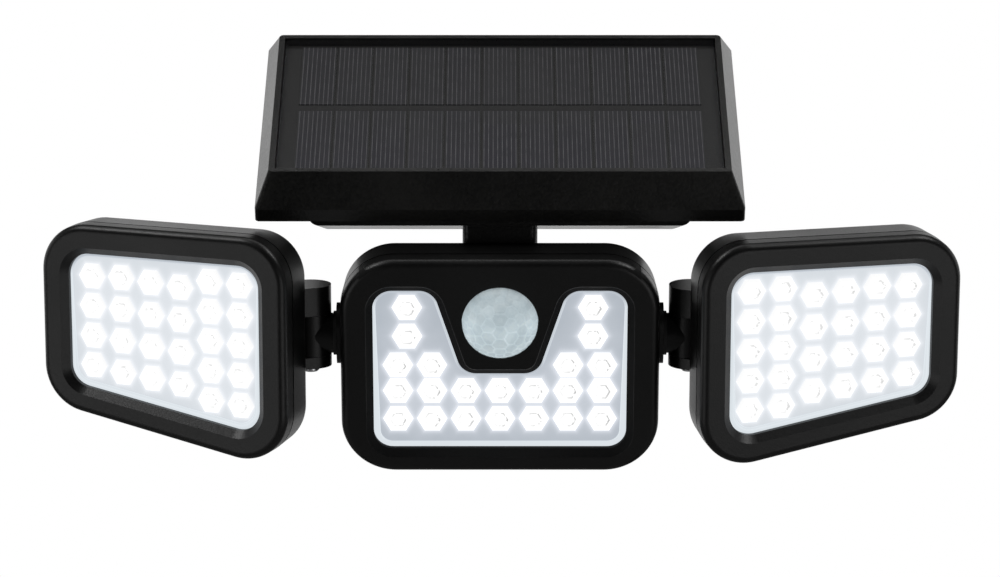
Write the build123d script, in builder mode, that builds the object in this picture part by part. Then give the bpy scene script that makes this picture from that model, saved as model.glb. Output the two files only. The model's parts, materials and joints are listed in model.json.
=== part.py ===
from build123d import *
import os
from math import cos, radians, sin, sqrt

# Three-head solar security light, in millimetres. The wall is the plane Y = 0, the light faces -Y,
# +Z is up, and the origin is the middle of the wall plate's back face.

# Panel frame: a sloped slab with bevelled sides, measured along and square to its slope
panel_slope = 36
skirt_front_y, skirt_front_z = -77.0, -22.2  # the lower front edge of the skirt
base_wide, base_long = 152.0, 92.9
bevel_side, bevel_end = 4.2, 7.0  # how far the bevel leans in
skirt_deep, bevel_deep = 4.3, 9.7
skirt_wall = 2.2
slab_corner = 1.4
frame_lip = 2.2
ledge = 3.0  # what the panel rests on

# Solar panel
glass_thick, cell_thick, backsheet_thick = 2.0, 0.3, 1.2
glass_sunk = 0.4  # below the frame's face
panel_gap = 0.3
cell_columns, cell_rows = 11, 2
cell_wide, cell_long = 11.2, 33.7
cell_gap, row_gap = 0.5, 3.8

# Rear housing: the wedge under the panel
housing_wide = 120.0
housing_floor_z = -23.4
housing_front_y = -69.5
housing_top_z = 28.5  # of its back face
housing_wall = 2.4
back_wall = 4.8
floor_round = 3.5
flange_thick, flange_gap = 2.2, 0.2
flange_screw_in, flange_screw_pitch, flange_screw_long = 3.6, 32.0, 8.0
wedge_top_in, wedge_bite = 3.2, 1.0  # from the slab's back edge, and how far it runs into the flange
gasket_thick = 0.6

# Wall plate
plate_wide, plate_tall, plate_thick = 88.0, 36.0, 1.8
plate_gap = 0.3
wall_hole, wall_hole_pitch = 4.6, 70.0
hook_wide, hook_rise, hook_pitch = 10.0, 5.0, 36.0
hook_z, hook_play, hook_slack = 6.0, 2.0, 0.3  # play above and below in its slot, slack behind the wall
tab_wide, tab_reach = 14.0, 12.0
tab_up, tab_play = 1.0, 1.0  # above the plate's lower edge, and round it in its pocket
lock_boss_round, lock_from_tip, lock_boss_gap = 4.0, 3.5, 0.3

# Screws: head and shank widths, head height
case_screw = (4.4, 2.2, 1.4)
small_screw = (5.4, 2.9, 2.0)
pivot_bolt = (8.0, 4.0, 3.0)
head_sunk = 0.1  # below the back of a head
screw_slack = 0.1  # around a shank, on the radius
screw_end_gap = 0.5  # left at the end of a blind bore
head_slack = 0.2  # around a head, on the radius
head_bevel = 0.3  # of a head's height

# Battery, board and button
battery_wide, battery_long = 18.4, 65.0
battery_y = -25.0
battery_pin, battery_pin_high = 0.6, 1.2  # of the cell's width
cradle_wall, cradle_slack, cradle_short = 1.8, 0.15, 4.0
board_thick = 1.6
control_wide, control_long = 20.0, 34.0
control_x, control_y = 46.0, -43.0
foot_round, foot_in = 1.4, 1.5
button_wide, button_deep, button_travel = 9.0, 4.2, 1.0
button_slack, button_round = 0.3, 0.6
ring_wall, ring_lip, ring_lip_high, ring_slack = 1.6, 1.2, 0.8, 0.1
switch_wide, switch_deep, switch_gap = 6.0, 2.0, 0.15

# Neck and its pivot
neck_wide = 23.5
pivot_y, pivot_z = -57.4, -38.7
barrel_round, neck_edge_round = 7.2, 2.2
washer_thick, washer_gap = 0.8, 0.2
lug_thick, lug_round, lug_foot = 5.0, 7.0, 2.0
neck_screw_deep = 7.0
nut_wide, nut_thick, nut_slack, bolt_past_nut = 8.0, 3.2, 0.02, 1.0

# Heads: the face of each is a plane, and its pieces lie behind it
centre_tilt = 22
centre_wide, centre_tall, centre_round, centre_deep = 99.0, 71.0, 17.0, 20.0
face_to_pivot_up, face_to_pivot_back = 20.0, 28.0
side_round, side_deep = 15.0, 20.0
side_outer, side_inner, side_top = 42.7, 40.0, 32.8
side_low_outer, side_low_inner = 24.8, 40.6
shell_wall, shell_draft, back_round = 2.2, 0.8, 3.0  # the draft is how far its walls lean in
bezel_deep, bezel_wall, bezel_round = 6.4, 3.8, 2.4
seal_thick, seal_in, seal_wide = 0.6, 0.5, 1.5
window_flare = 2.2
lens_thick, lens_flange, lens_step, lens_gap = 1.6, 1.8, 0.6, 0.25
lenslet_high = 1.3
led_board_in, led_board_back = 7.6, 9.4
led_wide, led_tall, led_thick = 2.8, 3.5, 0.8
post_round, post_skin, post_gap = 1.85, 1.6, 0.1  # a post's radius, skin over its bore, gap to its mate
centre_lenslet, side_lenslet, lenslet_taper = 9.2, 8.6, 25

# Centre window and LEDs, from the middle of the centre face
window_half, window_low, window_high = 39.5, 28.2, 25.0
notch_top, notch_foot, notch_low = 20.8, 11.8, -2.7
centre_window_round = 6.0
led_pitch = 10.6
led_rows = (17.0, 8.1, -0.9, -10.2, -19.6)
centre_post_x, centre_post_y = 44.2, (20.0, -16.0)
centre_rest_x, centre_rest_y = 30.0, 24.0
lobe_led_out = 2.72  # of the pitch, for the two rows in the lobes

# Side window and LEDs; x runs outward from the middle of a side face
side_window = [(34.1, -18.2), (34.1, 23.5), (-30.5, 23.5), (-30.5, -30.0)]
side_window_round = 7.0
side_first_column, side_column_pitch = 26.3, 10.03
side_columns = [  # height of the top lens, pitch and count, from the outer column in
    (16.4, 9.5, 4), (16.6, 10.1, 4), (15.8, 10.2, 4), (15.1, 10.3, 4), (17.6, 9.4, 5), (17.2, 9.5, 5),
]
side_posts = [(22.0, 27.9), (-20.0, 27.9), (-35.1, -14.0), (38.3, -8.0)]
side_rests = [(28.0, 18.0), (-18.7, 20.5), (28.0, -12.0), (-18.7, -24.0)]

# Sensor
dome_up = 15.1  # above the middle of the centre head
dome_wide, dome_high, dome_thick = 23.4, 8.0, 1.0
dome_flange, dome_flange_thick, dome_gap = 1.9, 1.2, 0.15
can_wide, can_high, can_round = 9.2, 4.2, 0.6

# Arms, pads and knuckles
arm_up, arm_back = 6.4, 13.3  # of the barrel, from the middle of the centre face
pad_tall, pad_wide, pad_out, pad_inside = 19.6, 12.4, 1.5, 1.0
ring_wide, ring_thick = 13.8, 1.0
arm_wide, eye_wide, eye_tall = 12.6, 13.0, 13.0
spigot_wide, spigot_slack, spigot_end_gap = 7.0, 0.06, 0.2
tilt_head, tilt_washer_rim, tilt_screw_long = 8.0, 0.3, 6.0
knuckle_x = 59.2
lug_slack = 0.15
lug_root_out, lug_root_wide, lug_root_bite = 8.0, 15.0, 1.2
upper_lug, lower_lug, knuckle_bore_short = 9.0, 3.5, 3.0
knuckle_in, knuckle_up, knuckle_back = 37.0, -2.0, 27.5  # from the middle of a side face
left_tilt, left_swing = 12.5, 20.5
right_tilt, right_swing = 15.5, 12

os.makedirs("parts", exist_ok=True)


def save(part, name):
    """Label a finished piece and write it under that name."""
    part.label = name
    export_step(part, f"parts/{name}.step")


def front_face(faces, plane):
    """The flat face that lies furthest out along a plane's normal."""
    flat = faces.filter_by(GeomType.PLANE)
    return flat.sort_by(lambda face: plane.to_local_coords(face.center()).Z)[-1]


def screw(head_plane, sizes, length):
    """A pan-head screw: the plane's origin is under the head, and the shank runs against its normal."""
    head_wide, shank_wide, head_high = sizes
    with BuildPart() as made:
        with BuildSketch(head_plane):
            Circle(head_wide / 2)
        extrude(amount=head_high)
        chamfer(front_face(made.faces(), head_plane).edges(), head_high * head_bevel)
        with BuildSketch(head_plane):
            Circle(shank_wide / 2)
        extrude(amount=-length)
    return made.part


def across(centre_y, centre_z, x=0.0):
    """The plane square to X through a point: its own x is +Y and its own y is +Z."""
    return Plane(origin=(x, centre_y, centre_z), x_dir=(0, 1, 0), z_dir=(1, 0, 0))


def facing_back(plane):
    """The same plane with its normal turned round."""
    return Plane(origin=plane.origin, x_dir=plane.x_dir, z_dir=-plane.z_dir)


# ---------------------------------------------------------------- panel frame
# The slab's plane starts at the skirt's lower front edge: y runs up the slope, z is square to it.
slope_cos, slope_sin = cos(radians(panel_slope)), sin(radians(panel_slope))
slab = Plane(
    origin=(0, skirt_front_y, skirt_front_z), x_dir=(1, 0, 0), z_dir=(0, -slope_sin, slope_cos)
)
slab_high = skirt_deep + bevel_deep
face_wide, face_long = base_wide - 2 * bevel_side, base_long - 2 * bevel_end
glass_wide, glass_long = face_wide - 2 * frame_lip, face_long - 2 * frame_lip
panel_deep = glass_sunk + glass_thick + cell_thick + backsheet_thick
slab_middle = (0, base_long / 2)
rebate = flange_thick + gasket_thick + flange_gap
flange_wide = base_wide - 2 * (skirt_wall + flange_gap)
flange_long = base_long - 2 * (skirt_wall + flange_gap)
flange_screw_at = [
    (side * (flange_wide / 2 - flange_screw_in), base_long / 2 + row * flange_screw_pitch)
    for side in (-1, 1)
    for row in (-1, 0, 1)
]

with BuildPart() as panel_frame:
    with BuildSketch(slab):
        with Locations(slab_middle):
            RectangleRounded(base_wide, base_long, slab_corner)
    extrude(amount=skirt_deep)
    with BuildSketch(slab.offset(skirt_deep)):
        with Locations(slab_middle):
            RectangleRounded(base_wide, base_long, slab_corner)
    with BuildSketch(slab.offset(slab_high)):
        with Locations(slab_middle):
            RectangleRounded(face_wide, face_long, slab_corner)
    loft()
    with BuildSketch(slab.offset(slab_high)):
        with Locations(slab_middle):
            Rectangle(glass_wide + 2 * panel_gap, glass_long + 2 * panel_gap)
    extrude(amount=-panel_deep, mode=Mode.SUBTRACT)
    with BuildSketch(slab):
        with Locations(slab_middle):
            Rectangle(glass_wide - 2 * ledge, glass_long - 2 * ledge)
    extrude(amount=slab_high, mode=Mode.SUBTRACT)
    with BuildSketch(slab):
        with Locations(slab_middle):
            Rectangle(base_wide - 2 * skirt_wall, base_long - 2 * skirt_wall)
    extrude(amount=rebate, mode=Mode.SUBTRACT)
    with BuildSketch(slab):
        with Locations(*flange_screw_at):
            Circle(small_screw[1] / 2 + screw_slack)
    extrude(amount=flange_gap + flange_screw_long + screw_end_gap, mode=Mode.SUBTRACT)
save(panel_frame.part, "panel_frame")

# ---------------------------------------------------------------- solar panel
# From the top down: glass, cells, backsheet. The backsheet lies on the frame's ledge.
backsheet_at = slab_high - panel_deep
with BuildPart() as panel_backsheet:
    with BuildSketch(slab.offset(backsheet_at)):
        with Locations(slab_middle):
            Rectangle(glass_wide, glass_long)
    extrude(amount=backsheet_thick)
save(panel_backsheet.part, "panel_backsheet")

with BuildPart() as solar_cells:
    with BuildSketch(slab.offset(backsheet_at + backsheet_thick)):
        with Locations(slab_middle):
            with GridLocations(cell_wide + cell_gap, cell_long + row_gap, cell_columns, cell_rows):
                Rectangle(cell_wide, cell_long)
    extrude(amount=cell_thick)
save(solar_cells.part, "solar_cells")

with BuildPart() as panel_glass:
    with BuildSketch(slab.offset(backsheet_at + backsheet_thick + cell_thick)):
        with Locations(slab_middle):
            Rectangle(glass_wide, glass_long)
    extrude(amount=glass_thick)
save(panel_glass.part, "panel_glass")


# ---------------------------------------------------------------- rear housing
def on_slope(up, out=0.0):
    """Y and Z of a point on the slab's side: up the slope, and out square to it."""
    return (
        skirt_front_y + up * slope_cos - out * slope_sin,
        skirt_front_z + up * slope_sin + out * slope_cos,
    )


def slope_at(y, out=0.0):
    """How far up the slope a line square to Y meets a plane that lies out from the slab's base."""
    return (y - skirt_front_y + out * slope_sin) / slope_cos


inside_floor_z = housing_floor_z + housing_wall
tab_z = -plate_tall / 2 + tab_up  # underside of the plate's lower tab
lock_y = -tab_reach + lock_from_tip
lock_bore = (small_screw[1] / 2 + screw_slack, small_screw[0] / 2 + head_slack, small_screw[2] + head_sunk)
ring_bore = button_wide / 2 + button_slack

with BuildPart() as rear_housing:
    with BuildSketch(slab.offset(flange_gap)):
        with Locations(slab_middle):
            Rectangle(flange_wide, flange_long)
    extrude(amount=flange_thick)
    with BuildSketch(Plane.YZ) as wedge:
        with BuildLine():
            Polyline(
                (housing_front_y, housing_floor_z),
                (0, housing_floor_z),
                (0, housing_top_z),
                on_slope(base_long - wedge_top_in, wedge_bite),
                on_slope(slope_at(housing_front_y, wedge_bite), wedge_bite),
                close=True,
            )
        make_face()
    extrude(amount=housing_wide / 2, both=True)
    floor_sides = (
        rear_housing.edges()
        .filter_by(lambda e: abs(e.center().Z - housing_floor_z) < 0.01)
        .filter_by(Axis.Y)
    )
    fillet(floor_sides, floor_round)
    with BuildSketch(Plane.YZ) as cavity:
        with BuildLine():
            Polyline(
                (housing_front_y + housing_wall, inside_floor_z),
                (-back_wall, inside_floor_z),
                (-back_wall, housing_top_z - back_wall),
                on_slope(base_long - wedge_top_in - 2 * back_wall, rebate + wedge_bite),
                on_slope(slope_at(housing_front_y + 2 * housing_wall, wedge_bite), rebate + wedge_bite),
                close=True,
            )
        make_face()
    extrude(amount=housing_wide / 2 - housing_wall, both=True, mode=Mode.SUBTRACT)
    # the recess for the wall plate, with the slots for its hooks and the pocket for its tab
    with BuildSketch(Plane.XZ):
        Rectangle(plate_wide + 2 * plate_gap, plate_tall + 2 * plate_gap)
    extrude(amount=plate_thick, mode=Mode.SUBTRACT)
    with BuildSketch(Plane.XZ):
        for side in (-1, 1):
            with Locations((side * hook_pitch / 2, hook_z + hook_rise / 2)):
                Rectangle(hook_wide + hook_play, hook_rise + 2 * hook_play)
        with Locations((0, tab_z + plate_thick / 2)):
            Rectangle(tab_wide + 2 * tab_play, plate_thick + 2 * tab_play)
        for side in (-1, 1):
            with Locations((side * wall_hole_pitch / 2, 0)):
                Circle(wall_hole)
    extrude(amount=back_wall, mode=Mode.SUBTRACT)
    # the boss that the lock screw goes up through
    with BuildSketch(Plane.XY.offset(housing_floor_z)):
        with Locations((0, lock_y)):
            Circle(lock_boss_round)
    extrude(amount=tab_z - lock_boss_gap - housing_floor_z)
    with Locations(Plane(origin=(0, lock_y, housing_floor_z), z_dir=(0, 0, -1))):
        CounterBoreHole(*lock_bore, depth=tab_z - housing_floor_z)
    # through the floor: the button, and the neck's two screws
    with BuildSketch(Plane.XY.offset(housing_floor_z)):
        with Locations((control_x, control_y)):
            Circle(ring_bore + ring_wall + ring_slack)
        for side in (-1, 1):
            with Locations((side * neck_wide / 4, pivot_y)):
                Circle(small_screw[1] / 2 + screw_slack)
    extrude(amount=housing_wall, mode=Mode.SUBTRACT)
    with BuildSketch(slab):
        with Locations(*flange_screw_at):
            Circle(small_screw[1] / 2 + screw_slack)
    extrude(amount=rebate, mode=Mode.SUBTRACT)
save(rear_housing.part, "rear_housing")

with BuildPart() as housing_gasket:
    with BuildSketch(slab.offset(flange_gap + flange_thick)):
        with Locations(slab_middle):
            Rectangle(flange_wide, flange_long)
            Rectangle(glass_wide - 2 * ledge, glass_long - 2 * ledge, mode=Mode.SUBTRACT)
        with Locations(*flange_screw_at):
            Circle(small_screw[1] / 2 + screw_slack, mode=Mode.SUBTRACT)
    extrude(amount=gasket_thick)
save(housing_gasket.part, "housing_gasket")

# The screws go up from under the flange, three along each side.
flange_screw = screw(facing_back(slab.offset(flange_gap)), small_screw, flange_screw_long)
with BuildPart() as housing_screws:
    for x, y in flange_screw_at:
        add(flange_screw.moved(Pos(slab.x_dir * x + slab.y_dir * y)))
save(housing_screws.part, "housing_screws")

# ---------------------------------------------------------------- wall plate
hook_front_y = -back_wall - hook_slack
with BuildPart() as wall_plate:
    with BuildSketch(Plane.XZ):
        RectangleRounded(plate_wide, plate_tall, 4.0)
    extrude(amount=plate_thick)
    # two hooks that reach through the slots and up behind the back wall
    for side in (-1, 1):
        with BuildSketch(Plane.YZ.offset(side * hook_pitch / 2 - hook_wide / 2)):
            with BuildLine():
                Polyline(
                    (-plate_thick, hook_z),
                    (hook_front_y - plate_thick, hook_z),
                    (hook_front_y - plate_thick, hook_z + hook_rise),
                    (hook_front_y, hook_z + hook_rise),
                    (hook_front_y, hook_z + plate_thick),
                    (-plate_thick, hook_z + plate_thick),
                    close=True,
                )
            make_face()
        extrude(amount=hook_wide)
    # the lower tab that the lock screw goes into
    with BuildSketch(Plane.XY.offset(tab_z)):
        with Locations((0, -tab_reach / 2)):
            Rectangle(tab_wide, tab_reach)
    extrude(amount=plate_thick)
    with BuildSketch(Plane.XZ):
        for side in (-1, 1):
            with Locations((side * wall_hole_pitch / 2, 0)):
                Circle(wall_hole / 2)
    extrude(amount=plate_thick, mode=Mode.SUBTRACT)
    with BuildSketch(Plane.XY.offset(tab_z)):
        with Locations((0, lock_y)):
            Circle(small_screw[1] / 2 + screw_slack)
    extrude(amount=plate_thick, mode=Mode.SUBTRACT)
save(wall_plate.part, "wall_plate")

lock_head = Plane(
    origin=(0, lock_y, housing_floor_z + lock_bore[2]), x_dir=(1, 0, 0), z_dir=(0, 0, -1)
)
lock_screw = screw(lock_head, small_screw, tab_z + 2 * plate_thick - lock_head.origin.Z)
save(lock_screw, "lock_screw")

# ---------------------------------------------------------------- battery, board and button
battery_z = inside_floor_z + cradle_wall + cradle_slack + battery_wide / 2
with BuildPart() as battery_cell:
    with BuildSketch(across(battery_y, battery_z, -battery_long / 2)):
        Circle(battery_wide / 2)
    extrude(amount=battery_long)
    with BuildSketch(across(battery_y, battery_z, battery_long / 2)):
        Circle(battery_wide / 2 * battery_pin)
    extrude(amount=battery_pin_high)
save(battery_cell.part, "battery_cell")

with BuildPart() as battery_cradle:
    cradle_round = battery_wide / 2 + cradle_slack
    with BuildSketch(across(battery_y, inside_floor_z, -battery_long / 2 + cradle_short)):
        with Locations((0, (cradle_wall + cradle_round) / 2)):
            Rectangle(2 * (cradle_round + cradle_wall), cradle_wall + cradle_round)
        with Locations((0, cradle_wall + cradle_round)):
            Circle(cradle_round, mode=Mode.SUBTRACT)
    extrude(amount=battery_long - 2 * cradle_short)
save(battery_cradle.part, "battery_cradle")

# The control board stands on four feet of its own over the button, with the switch under it.
button_top_z = housing_floor_z + button_deep
switch_z = button_top_z + button_travel + switch_gap
control_z = switch_z + switch_deep
foot_x, foot_y = control_wide / 2 - foot_in, control_long / 2 - foot_in
with BuildPart() as control_board:
    with BuildSketch(Plane.XY.offset(control_z)):
        with Locations((control_x, control_y)):
            Rectangle(control_wide, control_long)
    extrude(amount=board_thick)
    with BuildSketch(Plane.XY.offset(inside_floor_z)):
        with Locations((control_x, control_y)):
            with GridLocations(2 * foot_x, 2 * foot_y, 2, 2):
                Circle(foot_round)
    extrude(amount=control_z - inside_floor_z)
save(control_board.part, "control_board")

with BuildPart() as mode_switch:
    with BuildSketch(Plane.XY.offset(switch_z)):
        with Locations((control_x, control_y)):
            Rectangle(switch_wide, switch_wide)
    extrude(amount=switch_deep)
save(mode_switch.part, "mode_switch")

# The ring sits in the floor and has a lip inside it; the button slides in the ring.
with BuildPart() as button_ring:
    with BuildSketch(Plane.XY.offset(housing_floor_z)):
        with Locations((control_x, control_y)):
            Circle(ring_bore + ring_wall)
            Circle(ring_bore, mode=Mode.SUBTRACT)
    extrude(amount=housing_wall)
    with BuildSketch(Plane.XY.offset(inside_floor_z)):
        with Locations((control_x, control_y)):
            Circle(ring_bore + ring_wall + ring_lip)
            Circle(ring_bore, mode=Mode.SUBTRACT)
    extrude(amount=ring_lip_high)
save(button_ring.part, "button_ring")

with BuildPart() as mode_button:
    with BuildSketch(Plane.XY.offset(housing_floor_z)):
        with Locations((control_x, control_y)):
            Circle(button_wide / 2)
    extrude(amount=button_deep)
    fillet(mode_button.edges().group_by(Axis.Z)[0], button_round)
save(mode_button.part, "mode_button")

# ---------------------------------------------------------------- neck
# A block under the housing that ends in a barrel across the pivot.
with BuildPart() as neck:
    with BuildSketch(across(pivot_y, pivot_z, -neck_wide / 2)):
        Circle(barrel_round)
        with Locations((0, (housing_floor_z - pivot_z) / 2)):
            Rectangle(2 * barrel_round, housing_floor_z - pivot_z)
    extrude(amount=neck_wide)
    fillet(neck.edges().filter_by(Axis.Z), neck_edge_round)
    with BuildSketch(across(pivot_y, pivot_z, -neck_wide / 2)):
        Circle(pivot_bolt[1] / 2 + screw_slack)
    extrude(amount=neck_wide, mode=Mode.SUBTRACT)
    with BuildSketch(Plane.XY.offset(housing_floor_z)):
        for side in (-1, 1):
            with Locations((side * neck_wide / 4, pivot_y)):
                Circle(small_screw[1] / 2 + screw_slack)
    extrude(amount=-neck_screw_deep, mode=Mode.SUBTRACT)
save(neck.part, "neck")

with BuildPart() as neck_screws:
    for side in (-1, 1):
        add(screw(
            Plane(origin=(side * neck_wide / 4, pivot_y, inside_floor_z)), small_screw,
            housing_wall + neck_screw_deep - screw_end_gap,
        ))
save(neck_screws.part, "neck_screws")


# ---------------------------------------------------------------- heads
class Head:
    """One lamp head: its name, its face plane, and where things lie on that face.

    The plane's x runs to the right, its y up the face and its z out of it.
    """

    def __init__(self, name, face, outline, corner_round, deep):
        self.name, self.face, self.outline = name, face, outline
        self.corner_round, self.deep = corner_round, deep
        self.window, self.window_round = [], 0.0
        self.leds, self.lenslet_wide = [], 0.0
        self.posts, self.board_rests = [], []
        self.dome = None

    def level(self, back):
        """The plane that lies this far behind the face."""
        return self.face.offset(-back)


def rounded_outline(plane, corners, radius, inward=0.0):
    """A flat shape with the given corners, rounded, then drawn in all round."""
    with BuildSketch(plane) as shape:
        with BuildLine():
            Polyline(*corners, close=True)
        make_face()
        fillet(shape.vertices(), radius)
        if inward:
            offset(amount=-inward)
    return shape.sketch


def make_bezel(head):
    """The front frame: a dished face with the window cut in it, a skirt, and posts for the screws."""
    out = head.face.z_dir
    with BuildPart() as bezel:
        extrude(rounded_outline(head.face, head.outline, head.corner_round), bezel_deep, dir=-out)
        fillet(front_face(bezel.faces(), head.face).edges(), bezel_round)
        dish = rounded_outline(head.level(bezel_wall), head.outline, head.corner_round, shell_wall)
        extrude(dish, bezel_deep - bezel_wall, dir=-out, mode=Mode.SUBTRACT)
        with BuildSketch(head.level(bezel_wall)):
            with Locations(*head.posts):
                Circle(post_round)
        extrude(amount=-(bezel_deep - bezel_wall))
        with BuildSketch(head.level(bezel_deep)):
            with Locations(*head.posts):
                Circle(case_screw[1] / 2 + screw_slack)
        extrude(amount=bezel_deep - post_skin, mode=Mode.SUBTRACT)
        window = rounded_outline(head.level(bezel_wall), head.window, head.window_round)
        extrude(window, bezel_wall, dir=out, mode=Mode.SUBTRACT)
        chamfer(front_face(bezel.faces(), head.face).inner_wires().edges(), window_flare)
        if head.dome:
            with BuildSketch(head.level(bezel_wall)):
                with Locations(head.dome):
                    Circle(dome_wide / 2 + dome_gap)
            extrude(amount=bezel_wall, mode=Mode.SUBTRACT)
    save(bezel.part, f"{head.name}_bezel")


def make_seal(head):
    """The flat gasket between the bezel and the rear shell."""
    with BuildPart() as seal:
        for inward, mode in ((seal_in, Mode.ADD), (seal_in + seal_wide, Mode.SUBTRACT)):
            ring = rounded_outline(
                head.level(bezel_deep), head.outline, head.corner_round, inward)
            extrude(ring, seal_thick, dir=-head.face.z_dir, mode=mode)
    save(seal.part, f"{head.name}_gasket")


def make_lens(head):
    """The clear plate: a flange behind the bezel, a step that fills the window, and the lenslets."""
    back, out = head.level(bezel_wall), head.face.z_dir
    with BuildPart() as lens:
        flange = rounded_outline(back, head.window, head.window_round, -lens_flange)
        extrude(flange, lens_thick, dir=-out)
        extrude(rounded_outline(back, head.window, head.window_round, lens_gap), lens_step, dir=out)
        for led in head.leds:
            with BuildSketch(head.level(bezel_wall - lens_step)):
                with Locations(led):
                    RegularPolygon(head.lenslet_wide / 2, 6)
            extrude(amount=lenslet_high, taper=lenslet_taper)
    save(lens.part, f"{head.name}_lens")


def make_board(head):
    """The LED board and, as a group, the LEDs on it."""
    with BuildPart() as board:
        shape = rounded_outline(
            head.level(led_board_back), head.outline, head.corner_round, led_board_in)
        extrude(shape, board_thick, dir=-head.face.z_dir)
    save(board.part, f"{head.name}_led_board")
    with BuildPart() as leds:
        with BuildSketch(head.level(led_board_back)):
            with Locations(*head.leds):
                Rectangle(led_wide, led_tall)
        extrude(amount=led_thick)
    save(leds.part, f"{head.name}_leds")


def make_shell(head, lugs, bores):
    """The rear shell: drafted walls, a rounded back, screw posts and rests for the board."""
    front = bezel_deep + seal_thick
    with BuildPart() as shell:
        add(rounded_outline(head.level(front), head.outline, head.corner_round))
        add(rounded_outline(head.level(head.deep), head.outline, head.corner_round, shell_draft))
        loft()
        fillet(front_face(shell.faces(), facing_back(head.level(head.deep))).edges(), back_round)
        add(lugs)
        inner_back = head.level(head.deep - shell_wall)
        add(rounded_outline(head.level(front), head.outline, head.corner_round, shell_wall))
        add(rounded_outline(inner_back, head.outline, head.corner_round, shell_wall + shell_draft))
        loft(mode=Mode.SUBTRACT)
        with BuildSketch(inner_back):
            with Locations(*head.posts):
                Circle(post_round)
        extrude(amount=head.deep - shell_wall - bezel_deep - post_gap)
        with BuildSketch(inner_back):
            with Locations(*head.board_rests):
                Circle(post_round)
        extrude(amount=head.deep - shell_wall - led_board_back - board_thick)
        with BuildSketch(head.level(head.deep)):
            with Locations(*head.posts):
                Circle(case_screw[1] / 2 + screw_slack)
        extrude(amount=head.deep, mode=Mode.SUBTRACT)
        with BuildSketch(head.level(head.deep)):
            with Locations(*head.posts):
                Circle(case_screw[0] / 2 + head_slack)
        extrude(amount=case_screw[2] + head_sunk, mode=Mode.SUBTRACT)
        add(bores, mode=Mode.SUBTRACT)
    save(shell.part, f"{head.name}_rear_shell")


def make_case_screws(head):
    """The screws that go in from the back and pull the bezel onto the shell."""
    head_at = head.deep - case_screw[2] - head_sunk
    one = screw(facing_back(head.level(head_at)), case_screw, head_at - post_skin - screw_end_gap)
    with BuildPart() as screws:
        for x, y in head.posts:
            add(one.moved(Pos(head.face.x_dir * x + head.face.y_dir * y)))
    save(screws.part, f"{head.name}_case_screws")


def face_plane(origin, tilt, swing=0.0):
    """A face that leans down by tilt, then swings about its own upright, to the left if positive."""
    lean, turn = radians(tilt), radians(swing)
    return Plane(
        origin=origin,
        x_dir=(cos(turn), -sin(turn) * cos(lean), -sin(turn) * sin(lean)),
        z_dir=(-sin(turn), -cos(turn) * cos(lean), -cos(turn) * sin(lean)),
    )


# ---------------------------------------------------------------- centre head
pivot = Vector(0, pivot_y, pivot_z)
leaning = face_plane((0, 0, 0), centre_tilt)
centre_face = face_plane(
    pivot - leaning.y_dir * face_to_pivot_up + leaning.z_dir * face_to_pivot_back, centre_tilt
)
half_wide, half_tall = centre_wide / 2, centre_tall / 2
centre = Head(
    "centre",
    centre_face,
    [(-half_wide, -half_tall), (half_wide, -half_tall), (half_wide, half_tall), (-half_wide, half_tall)],
    centre_round,
    centre_deep,
)
# The window is a U: a wide lower part and a lobe up each side of the sensor.
centre.window = [
    (-window_half, -window_low), (window_half, -window_low), (window_half, window_high),
    (notch_top, window_high), (notch_foot, notch_low), (-notch_foot, notch_low),
    (-notch_top, window_high), (-window_half, window_high),
]
centre.window_round = centre_window_round
centre.lenslet_wide = centre_lenslet
centre.leds = [(side * lobe_led_out * led_pitch, y) for side in (-1, 1) for y in led_rows[:2]]
centre.leds += [(side * n * led_pitch, led_rows[2]) for side in (-1, 1) for n in (2, 3)]
centre.leds += [(n * led_pitch, y) for n in range(-3, 4) for y in led_rows[3:]]
centre.posts = [(side * centre_post_x, y) for side in (-1, 1) for y in centre_post_y]
centre.board_rests = [
    (side * centre_rest_x, level * centre_rest_y) for side in (-1, 1) for level in (-1, 1)
]
centre.dome = (0, dome_up)


def side_plane(x):
    """The plane square to X through the centre head's middle: y up the face, x to its back."""
    return Plane(
        origin=centre_face.origin + Vector(x, 0, 0), x_dir=-centre_face.z_dir, z_dir=(1, 0, 0)
    )


lug_in = neck_wide / 2 + washer_gap + washer_thick
pad_face_x = half_wide + pad_out
pad_back_x = half_wide - shell_wall - pad_inside  # where a pad ends inside the shell
with BuildPart() as centre_lugs:
    # the two hinge lugs on the back, and the pads that the arms turn on
    for side in (-1, 1):
        with BuildSketch(side_plane(side * (lug_in + lug_thick / 2))):
            with Locations((face_to_pivot_back, face_to_pivot_up)):
                Circle(lug_round)
            with Locations((centre_deep - shell_wall / 2, face_to_pivot_up)):
                Rectangle(shell_wall / 2, 2 * (lug_round + lug_foot))
            make_hull()
        extrude(amount=lug_thick / 2, both=True)
        with BuildSketch(side_plane(side * pad_back_x)):
            with Locations((arm_back, arm_up)):
                SlotOverall(pad_tall, pad_wide, rotation=90)
        extrude(amount=side * (pad_face_x - pad_back_x))

with BuildPart() as centre_bores:
    # the pivot's bore through the lugs, and the bores for the arms' spigots
    with BuildSketch(side_plane(0)):
        with Locations((face_to_pivot_back, face_to_pivot_up)):
            Circle(pivot_bolt[1] / 2 + screw_slack)
    extrude(amount=lug_in + lug_thick, both=True)
    with BuildSketch(side_plane(0)):
        with Locations((arm_back, arm_up)):
            Circle(spigot_wide / 2 + spigot_slack)
    extrude(amount=pad_face_x, both=True)

make_shell(centre, centre_lugs.part, centre_bores.part)
make_bezel(centre)
make_seal(centre)
make_lens(centre)
make_board(centre)
make_case_screws(centre)

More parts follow.
